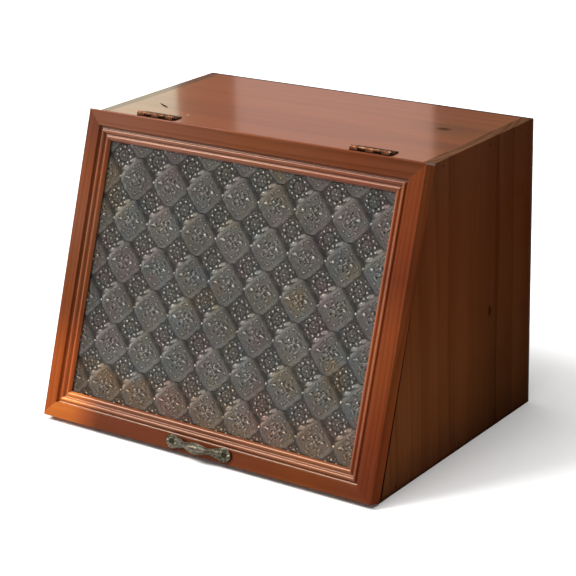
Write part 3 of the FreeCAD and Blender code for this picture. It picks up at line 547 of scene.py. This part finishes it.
second("door_right_stile", STILE_SIDE, lambda n: n.x > 0.7 or n.dot(U) > 0.7)
second("left_side_panel", LEFT_TOP, lambda n: n.z > 0.7)
for side in ("top", "bottom", "left", "right"):
    dress("glazing_bead_" + side, WOODS["glazing_bead_" + side], 0.0004)
for side in ("left", "right"):
    dress(side + "_hinge_door_leaf", METALS["door_leaf"], 0.00015)
    dress(side + "_hinge_top_leaf", METALS["top_leaf"], 0.00015)
    dress(side + "_hinge_pin", METALS["hinge_pin"], 0.00015)
    dress(side + "_side_nails", METALS["nail"], 0.00012)
    dress(side + "_bumper_pad", FELT, 0.0003)
for name in ("top_leaf_screws", "door_leaf_screws"):
    dress(name, METALS["screw"], 0.0001)
for name in ("back_panel_tacks", "mitre_pins", "glazing_brads"):
    dress(name, METALS["brad"], 0.00012)
dress("pull_screws", METALS["pull_screw"], 0.0002)

# ------------------------------------------------------------------ pressed glass

PX, PY = 43.2, 42.4            # the big flower tile's pitch, mm
A0, B0 = -2.0, 12.0            # one tile's centre in the moulding frame


def smooth(x, lo, hi):
    t = np.clip((x - lo) / (hi - lo), 0, 1)
    return t * t * (3 - 2 * t)


def dome(r, radius, height):
    return height * np.clip(1 - (r / radius) ** 2, 0, 1) ** 1.3


def leaf(l, m, l0, half, wide, height):
    return height * np.clip(1 - ((l - l0) / half) ** 2 - (m / wide) ** 2, 0, 1) ** 0.9


LOBES = ((-17.4, 9.4), (-8.6, 18.6), (25.8, 9.4), (-8.6, -23.8))      # and the neighbours' that reach into this cell


def lobe(u, v, cu, cv):
    c, w = math.cos(math.radians(31)), math.sin(math.radians(31))
    return (u - cu) * c + (v - cv) * w, -(u - cu) * w + (v - cv) * c


def relief(a, b):
    """Height of the pressed face, mm, 0 at the tile's flat and negative in the valleys."""
    a, b = (a + 0.20 * np.sin(0.61 * b + 1.7 * np.sin(0.13 * a) + 0.5) + 0.12 * np.sin(0.83 * a - 0.47 * b),
            b + 0.20 * np.sin(0.57 * a + 1.5 * np.sin(0.11 * b) + 2.1) + 0.12 * np.sin(0.91 * b + 0.39 * a))
    u = (np.mod((a - A0) / PX + 0.5, 1) - 0.5) * PX
    v = (np.mod((b - B0) / PY + 0.5, 1) - 0.5) * PY
    r, th = np.hypot(u, v), np.arctan2(v, u)
    # a square stood on its corner, straight sides and round corners
    side, corner = 17.1, 9.2
    qx = np.abs(u + v) / math.sqrt(2) - side + corner
    qy = np.abs(u - v) / math.sqrt(2) - side + corner
    d = corner - np.hypot(np.maximum(qx, 0), np.maximum(qy, 0)) - np.minimum(np.maximum(qx, qy), 0)
    d = d + 0.30 * np.cos(8 * th)
    tile = smooth(d, -2.3, 2.9)
    h = -1.2 + tile * (1.0 + 0.2 * np.clip(1 - (r / 20) ** 2, 0, 1))
    # ribs that follow the outline
    h += tile * 0.09 * np.cos(2 * np.pi * (d - 3.4) / 2.3) * np.exp(-((d - 5.0) / 2.4) ** 2) * smooth(d, 2.2, 3.4)
    # a cross of four broad petals, scrolls between them, two long bosses, two curls
    for q in range(4):
        f = math.radians(45 + 90 * q)
        l, m = u * math.cos(f) + v * math.sin(f), -u * math.sin(f) + v * math.cos(f)
        h += leaf(l, m, 3.6, 2.9, 1.7, 0.62)
        h += leaf(m, l - 9.6, 0.0, 3.6, 1.35, 0.42)
        h -= leaf(l, m, 6.9, 1.3, 1.3, 0.35)
        g = math.radians(90 * q)
        l, m = u * math.cos(g) + v * math.sin(g), -u * math.sin(g) + v * math.cos(g)
        h -= leaf(l, m, 6.3, 1.8, 1.2, 0.45)
        h += dome(np.hypot(l - 15.2, m), 1.5, 0.32)
    h += dome(r, 1.5, 0.55)
    for sx in (-1, 1):
        h += 0.9 * np.clip(1 - ((u + 1.8 - sx * 10.4) / 2.5) ** 2 - ((v - 0.6) / 1.6) ** 2, 0, 1) ** 0.8
        rr = np.hypot(u, v - sx * 11.4)
        h += 0.10 * np.exp(-((rr - 3.1) / 1.0) ** 2) + dome(rr, 1.3, 0.14)
        for sy in (-1, 1):
            rr = np.hypot(u - sx * 6.6, v - sy * 11.2)
            h += dome(rr, 1.5, 0.42)
        h += dome(np.hypot(u - sx * PX / 2, v), 1.7, 0.9)
    for cu, cv in LOBES:
        l, m = lobe(u, v, cu, cv)
        h += 0.42 * np.clip(1 - (l / 5.4) ** 2 - (m / 2.3) ** 2, 0, 1) ** 0.9
    # small flower in the gaps, on its own low disc
    u2 = (np.mod((a - A0) / PX, 1) - 0.5) * PX
    v2 = (np.mod((b - B0) / PY, 1) - 0.5) * PY
    r2, t2 = np.hypot(u2, v2), np.arctan2(v2, u2)
    disc = smooth(r2, 12.9 + 0.5 * np.cos(8 * t2), 10.6 + 0.5 * np.cos(8 * t2))
    h += 0.22 * disc - 0.10 * disc * smooth(r2, 7.5, 6.6) * smooth(r2, 5.2, 6.0)
    h += dome(r2, 1.6, 0.55)
    h += 0.26 * (0.5 + 0.5 * np.cos(6 * t2)) * smooth(r2, 1.6, 2.9) * smooth(r2, 6.2, 4.4)
    for q in range(8):
        f = math.radians(45 * q)
        h += dome(np.hypot(u2 - 8.6 * math.cos(f), v2 - 8.6 * math.sin(f)), 1.6, 0.66)
        f = math.radians(45 * q + 22.5)
        h += dome(np.hypot(u2 - 10.6 * math.cos(f), v2 - 11.2 * math.sin(f)), 1.2, 0.30)
        h -= dome(np.hypot(u2 - 6.6 * math.cos(f), v2 - 6.6 * math.sin(f)), 1.3, 0.30)
    # drawn glass is never quite flat
    h *= 1.4
    h += 0.05 * np.sin(a * 0.071 + 1.1) * np.sin(b * 0.083 + 0.4) + 0.03 * np.sin(a * 0.31 + b * 0.17)
    return h


def build_glass():
    half_a, half_b, front, back = 177.0, 135.7, 9.93, 6.0
    vis_a, vis_b, na, nb = 171.9, 130.6, 354, 270
    ga, gb = np.meshgrid(np.linspace(-vis_a, vis_a, na + 1), np.linspace(-vis_b, vis_b, nb + 1), indexing="ij")
    h = relief(ga, gb)
    top = float(h.max())
    e = 0.55
    bend = 4 * h - relief(ga - e, gb) - relief(ga + e, gb) - relief(ga, gb - e) - relief(ga, gb + e)
    bend = np.clip(bend / e ** 2, -2.2, 2.2)
    w = front - 0.55 * (top - h)             # nothing stands proud of the plate
    pts = [mould(a / 1000, b / 1000, c / 1000) for a, b, c in zip(ga.ravel(), gb.ravel(), w.ravel())]
    ix = np.arange((na + 1) * (nb + 1)).reshape(na + 1, nb + 1)
    q = np.stack([ix[:-1, :-1], ix[1:, :-1], ix[1:, 1:], ix[:-1, 1:]], -1).reshape(-1, 4)
    faces = q.tolist()
    ring = [*ix[:, 0], *ix[-1, 1:], *ix[::-1, -1][1:], *ix[0, ::-1][1:-1]]
    m = len(ring)
    outer = len(pts)
    for c in (front - 1.2, back):
        for i in ring:
            pts.append(mould(ga.ravel()[i] * half_a / vis_a / 1000, gb.ravel()[i] * half_b / vis_b / 1000, c / 1000))
    for i in range(m):
        j = (i + 1) % m
        faces.append([ring[j], ring[i], outer + i, outer + j])
        faces.append([outer + j, outer + i, outer + m + i, outer + m + j])
    faces.append([outer + m + i for i in range(m - 1, -1, -1)])
    me = bpy.data.meshes.new("glass_pressed")
    me.from_pydata([tuple(p) for p in pts], [], [[int(i) for i in f] for f in faces])
    flags = np.zeros(len(faces), bool)
    flags[:len(q)] = True
    me.polygons.foreach_set("use_smooth", flags)
    # painted light and shade for the relief: lighter on slopes facing up and left, darker on slopes facing up and
    # right
    e = 1.0
    g1 = (relief(ga + e, gb - e) - relief(ga - e, gb + e)) / (2.83 * e)      # + faces up and to the left
    g2 = (relief(ga + e, gb + e) - relief(ga - e, gb - e)) / (2.83 * e)      # - faces up and to the right
    slope_light = 0.65 * np.maximum(g1, 0) + 0.20 * np.maximum(-g1, 0) - 0.85 * np.maximum(-g2, 0) - 1.0 * np.maximum(g2, 0)
    cell_u = (np.mod((ga - A0) / PX + 0.5, 1) - 0.5) * PX
    cell_v = (np.mod((gb - B0) / PY + 0.5, 1) - 0.5) * PY
    # painted highlight lobes beside each tile
    for cu, cv in LOBES:
        along, across = lobe(cell_u, cell_v, cu, cv)
        slope_light = slope_light + 0.62 * np.clip(1 - (along / 5.6) ** 2 - (across / 2.6) ** 2, 0, 1)
    for name, values in (("height", h - top), ("bend", bend), ("slope_light", slope_light)):
        at = me.attributes.new(name, "FLOAT", "POINT")
        at.data.foreach_set("value", np.concatenate([values.ravel(), np.zeros(2 * m)]).astype(np.float32))
    o = bpy.data.objects.new("glass_pressed", me)
    bpy.context.scene.collection.objects.link(o)
    return o


def glass_shader():
    s = Shader("pressed_glass", rough=0.07, ior=1.5)
    hgt = s.n("Attribute", attribute_name="height").outputs["Fac"]
    bnd = s.n("Attribute", attribute_name="bend").outputs["Fac"]
    # painted shade in the valleys and hollows, painted highlight on the crests, and painted light and shade from the
    # slope attribute
    slope_light = s.n("Attribute", attribute_name="slope_light").outputs["Fac"]
    v = s.step(hgt, -3.2, -1.9, 0.054, 0.140)
    crest_glint = s.step(bnd, 0.15, 2.0, 0.0, 0.40)
    pit_shade = s.step(bnd, 0.1, -1.1, 1.0, 0.10)
    patch = s.noise(s.pos, 18.0, 3.0, 0.6)
    crest_glint = s.math("ADD", crest_glint, s.step(bnd, 1.2, 2.1, 0.0, 0.95))
    v = s.math("MULTIPLY", s.math("ADD", v, crest_glint), pit_shade)
    v = s.math("MULTIPLY", v, s.math("ADD", s.step(slope_light, -0.62, 0.62, 0.20, 1.80), s.step(slope_light, 0.12, 0.60, 0.0, 0.8)))
    v = s.math("MULTIPLY", v, s.math("MULTIPLY_ADD", patch, 0.84, 0.49))
    tint = s.noise(s.pos, 26.0, 2.0, 0.5)
    tint2 = s.noise(s.vec("ADD", s.pos, (3.1, 1.7, 0.2)), 34.0, 2.0, 0.5)
    col = s.ramp(tint, [(0.32, (1.07, 0.94, 0.99)), (0.45, (1.0, 0.98, 0.97)), (0.56, (0.95, 1.0, 0.95)), (0.72, (1.14, 0.99, 0.74))])
    col = s.mix(s.step(tint2, 0.52, 0.70), col, (0.88, 1.0, 1.06))
    # browner low down: painted light, where the lit inside of the cabinet shows through; and a painted shadow under
    # the left lip
    up = s.vec("DOT_PRODUCT", s.pos, tuple(U))
    low = s.step(s.math("MULTIPLY_ADD", s.math("SUBTRACT", patch, 0.5), 0.10, up), SLOPE[0] + 0.085, SLOPE[0] + 0.030)
    col = s.mix(s.math("MULTIPLY", low, 0.85), col, s.vec("MULTIPLY", col, (1.34, 0.95, 0.72)))
    x, y, z = s.xyz(s.pos)
    left = s.step(x, -0.145, -0.172)
    col = s.mix(s.math("MULTIPLY", left, 0.6), col, s.vec("MULTIPLY", col, (0.72, 0.60, 0.50)))
    col = s.vec("SCALE", s.vec("MULTIPLY", col, (1.10, 1.0, 0.90)), scale=v)
    cloud = s.noise(s.pos, 420.0, 3.0, 0.6)
    s.set(Base_Color=col, Roughness=s.math("MULTIPLY_ADD", cloud, 0.14, 0.12),
          Normal=s.bump(s.noise(s.pos, 900.0, 2.0, 0.5), 0.00008, 0.25))
    s.p.inputs["Transmission Weight"].default_value = 0.52
    s.p.inputs["Specular IOR Level"].default_value = 0.25
    return s


glass = build_glass()
glass.data.materials.append(glass_shader().m)
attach(glass, "door")
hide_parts("glass_pane")

# ------------------------------------------------------------------ pull


def curve(points):
    xs, ys = np.array([p[0] for p in points], float), np.array([p[1] for p in points], float)
    hk = np.diff(xs)
    dk = np.diff(ys) / hk
    m = np.zeros(len(xs))
    for i in range(1, len(xs) - 1):
        if dk[i - 1] * dk[i] > 0:
            w1, w2 = 2 * hk[i] + hk[i - 1], hk[i] + 2 * hk[i - 1]
            m[i] = (w1 + w2) / (w1 / dk[i - 1] + w2 / dk[i])
    m[0], m[-1] = 0, dk[-1]

    def f(x):
        x = np.asarray(x, float)
        i = np.clip(np.searchsorted(xs, x) - 1, 0, len(xs) - 2)
        t = (x - xs[i]) / hk[i]
        return ((1 + 2 * t) * (1 - t) ** 2 * ys[i] + t * (1 - t) ** 2 * hk[i] * m[i]
                + t * t * (3 - 2 * t) * ys[i + 1] + t * t * (t - 1) * hk[i] * m[i + 1])
    return f


def build_pull():
    half = curve([(0, 5.5), (4, 5.25), (8, 4.5), (12, 3.45), (15, 3.05), (18, 3.35), (20.5, 4.3), (22.5, 4.75), (24.2, 4.75), (26, 5.6),
                  (28.5, 6.5), (31, 6.95), (33.5, 6.75), (36, 5.6), (38, 3.7), (39.3, 1.7), (39.9, 0.35)])
    ridge = curve([(0, 11.7), (5, 11.35), (10, 10.0), (15, 7.9), (18, 6.4), (20.5, 5.1), (23, 4.1), (26, 3.3), (29, 2.9), (40, 2.7)])
    under = curve([(0, 7.5), (5, 7.1), (10, 6.0), (15, 4.1), (19, 1.9), (22, 0.0), (40, 0.0)])
    rim = curve([(0, 8.75), (5, 8.45), (10, 7.4), (15, 5.9), (18, 4.8), (20.5, 3.9), (23, 3.1), (27, 2.4), (32, 2.1), (37, 1.9), (39.9, 1.5)])
    cx = 32.3
    ss = np.concatenate([np.linspace(-39.9, -20, 100), np.linspace(-20, 20, 97)[1:-1], np.linspace(20, 39.9, 100)])
    tt = np.linspace(-1, 1, 41)
    tt = np.sign(tt) * (1 - (1 - np.abs(tt)) ** 1.15)
    nt, nu = len(tt), 11
    pts, ringsz = [], nt + nu - 2
    for s in ss:
        a = abs(s)
        b = float(half(a))
        # lobes round the rosette's rim
        ang = math.atan2(b, a - cx)
        lobes = 0.30 * abs(math.sin(4.5 * ang)) - 0.15 if a > 26.0 else 0.0
        b = max(0.3, b + lobes * min(1, (a - 26.0) / 2 if a > 26 else 0))
        if 20.8 < a < 26.5:
            b += 0.35 * max(0.0, math.cos((a - 22.4) * math.pi / 1.9)) * (1 if a < 25.6 else 0)
        for t in tt:
            y = t * b
            e = abs(t)
            if a < 22:
                # bow: raised rims and a rounded middle
                blend = min(1.0, max(0.0, (22 - a) / 5))
                mid = rim(a) - 0.75 + (ridge(a) - rim(a) + 0.75) * max(0.0, 1 - (e / 0.76) ** 2) ** 0.75
                lip = float(rim(a)) * 1.0 - 1.3 * max(0.0, (e - 0.88) / 0.12) ** 2
                lipb = math.exp(-((e - 0.88) / 0.075) ** 2) * 0.55
                h_bow = max(mid, lip - 0.7) + lipb
                h_bow = h_bow if e < 0.97 else h_bow - 0.5 * (e - 0.97) / 0.03
            else:
                blend, h_bow = 0.0, 0.0
            # rosette: eight petals round a sunk screw
            rr, an = math.hypot(a - cx, y), math.atan2(y, a - cx)
            h_ros = 2.05 + 0.75 * (0.5 + 0.5 * math.cos(9 * an)) * float(smooth(rr, 2.9, 4.0)) * float(smooth(rr, 7.2, 5.4))
            h_ros += 0.75 * math.exp(-((rr - 3.15) / 0.55) ** 2)
            h_ros -= 0.9 * float(smooth(rr, 2.75, 2.2))
            h_ros += 0.35 * math.exp(-((e - 0.86) / 0.10) ** 2)
            # shoulder: a rib down the middle with beads beside it
            h_sh = float(rim(a)) + (float(ridge(a)) - float(rim(a))) * max(0.0, 1 - (e / 0.55) ** 2)
            for bx, by, br in ((21.6, 3.3, 1.05), (24.0, 3.9, 1.1), (26.5, 4.7, 1.15)):
                q = 1 - ((a - bx) ** 2 + (abs(y) - by) ** 2) / br ** 2
                if q > 0:
                    h_sh = max(h_sh, 2.6 + 1.25 * math.sqrt(q))
            w_ros = float(smooth(a, 25.4, 28.0))
            h = h_sh * (1 - w_ros) + h_ros * w_ros
            h = h_bow * blend + h * (1 - blend)
            h = max(h, float(under(a)) + 0.35)
            if e > 0.999:
                h = max(float(under(a)) + 0.3, h - 0.45)
            pts.append(door(s / 1000, -TALL + 0.0088 + y / 1000, THICK + h / 1000))
        for t in np.linspace(1, -1, nu)[1:-1]:
            y = t * b * 0.97
            lift = 0.35 * (1 - t * t) if a < 22 else 0.0
            pts.append(door(s / 1000, -TALL + 0.0088 + y / 1000, THICK + max(0.0, float(under(a)) - lift * (1 if under(a) > 0.5 else 0)) / 1000))
    faces = []
    for i in range(len(ss) - 1):
        for j in range(ringsz):
            jj = (j + 1) % ringsz
            faces.append([i * ringsz + j, i * ringsz + jj, (i + 1) * ringsz + jj, (i + 1) * ringsz + j])
    faces.append(list(range(ringsz - 1, -1, -1)))
    last = (len(ss) - 1) * ringsz
    faces.append([last + j for j in range(ringsz)])
    me = bpy.data.meshes.new("pull_cast")
    me.from_pydata([tuple(p) for p in pts], [], faces)
    me.polygons.foreach_set("use_smooth", np.ones(len(faces), bool))
    me.validate()
    import bmesh
    bm = bmesh.new()
    bm.from_mesh(me)
    bmesh.ops.remove_doubles(bm, verts=bm.verts, dist=1e-7)
    bmesh.ops.recalc_face_normals(bm, faces=bm.faces)
    bm.to_mesh(me)
    bm.free()
    o = bpy.data.objects.new("pull_cast", me)
    bpy.context.scene.collection.objects.link(o)
    return o


pull = build_pull()
pull.data.materials.append(METALS["pull"].m)
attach(pull, "door")
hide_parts("pull_handle")

# ------------------------------------------------------------------ floor, lights, camera


def build_floor():
    me = bpy.data.meshes.new("studio_floor")
    r = 14.0
    me.from_pydata([(-r, -r, 0), (r, -r, 0), (r, r, 0), (-r, r, 0)], [], [(0, 1, 2, 3)])
    o = bpy.data.objects.new("studio_floor", me)
    bpy.context.scene.collection.objects.link(o)
    o.location.z = -0.0002
    s = Shader("floor_white", rough=0.9)
    cloud = s.noise(s.pos, 1.5, 2.0, 0.5)
    s.set(Base_Color=s.mix(cloud, (0.93, 0.93, 0.93), (0.95, 0.95, 0.95)))
    s.p.inputs["Specular IOR Level"].default_value = 0.0
    me.materials.append(s.m)


build_floor()


def towards(az, el):
    """Unit vector to a light at that azimuth (0 is in front, 90 is the +X side) and elevation."""
    a, e = math.radians(az), math.radians(el)
    return Vector((math.sin(a) * math.cos(e), -math.cos(a) * math.cos(e), math.sin(e)))


def sun(name, az, el, level, angle, colour=(1, 1, 1)):
    li = bpy.data.lights.new(name, "SUN")
    li.energy = level * math.pi
    li.angle = math.radians(angle)
    li.color = colour
    o = bpy.data.objects.new(name, li)
    o.rotation_mode = "QUATERNION"
    o.rotation_quaternion = towards(az, el).to_track_quat("Z", "Y")
    bpy.context.scene.collection.objects.link(o)
    return o


def card(name, place, look, wide, high, radiance, colour=(1, 1, 1), diffuse=True, glossy=True):
    li = bpy.data.lights.new(name, "AREA")
    li.shape = "RECTANGLE"
    li.size, li.size_y = wide, high
    li.energy = radiance * math.pi * wide * high
    li.color = colour
    o = bpy.data.objects.new(name, li)
    o.location = place
    o.rotation_mode = "QUATERNION"
    o.rotation_quaternion = (Vector(place) - Vector(look)).to_track_quat("Z", "Y")
    o.visible_camera = False
    o.visible_diffuse = diffuse
    o.visible_glossy = glossy
    bpy.context.scene.collection.objects.link(o)
    return o


sun("key", -52, 46, 0.96, 24, (1.0, 0.985, 0.965))
sun("overhead", -30, 78, 0.92, 56)
sun("low_left", -64, 5, 0.22, 26)
mid = Vector((0, -0.08, 0.16))
card("window", mid + towards(-34, 12) * 2.3, mid, 1.15, 1.2, 1.0, (1.0, 0.99, 0.98), glossy=False)
# behind the cabinet, for the lacquer on its top
top_mid = Vector((0.0, 0.06, 0.304))
back_dir = Vector((-math.sin(math.radians(35.6)), math.cos(math.radians(35.6)), 0))
side_dir = Vector((math.cos(math.radians(35.6)), math.sin(math.radians(35.6)), 0))


def behind(name, offset, wide, low, high, radiance, colour, dist=1.3):
    c = top_mid + back_dir * dist + side_dir * offset
    c.z = (low + high) / 2
    look = Vector((c.x, c.y, c.z)) - back_dir
    return card(name, c, look, wide, high - low, radiance, colour, diffuse=False)


behind("card_left", -0.428, 0.44, 0.45, 1.5, 1.22, (1.0, 0.965, 0.73))
behind("card_middle", 0.057, 0.335, 0.45, 1.4, 0.655, (1.0, 0.64, 0.54))
behind("card_between", -0.159, 0.096, 0.45, 1.4, 0.235, (1.0, 0.23, 0.05))

world = bpy.data.worlds.new("studio")
bpy.context.scene.world = world
world.use_nodes = True
world.node_tree.nodes["Background"].inputs[0].default_value = (1.0, 0.95, 0.88, 1)
world.node_tree.nodes["Background"].inputs[1].default_value = 0.12


def camera():
    az, el, roll = math.radians(35.6464), math.radians(19.5348), math.radians(-1.4461)
    back = Vector((math.sin(az) * math.cos(el), -math.cos(az) * math.cos(el), math.sin(el)))
    right = (-back).cross(Vector((0, 0, 1))).normalized()
    up = right.cross(-back)
    r2 = right * math.cos(roll) + up * math.sin(roll)
    u2 = -right * math.sin(roll) + up * math.cos(roll)
    cam = bpy.data.cameras.new("camera")
    cam.sensor_width = 36
    cam.lens = 1954.59 * 36 / 576
    cam.clip_start, cam.clip_end = 0.05, 60
    o = bpy.data.objects.new("camera", cam)
    bpy.context.scene.collection.objects.link(o)
    m = Matrix((r2, u2, back)).transposed().to_4x4()
    m.translation = Vector((1.0946, -1.5148, 0.7993))
    o.matrix_world = m
    bpy.context.scene.camera = o


camera()
bpy.context.scene.view_settings.view_transform = "Standard"
bpy.context.scene.view_settings.look = "None"
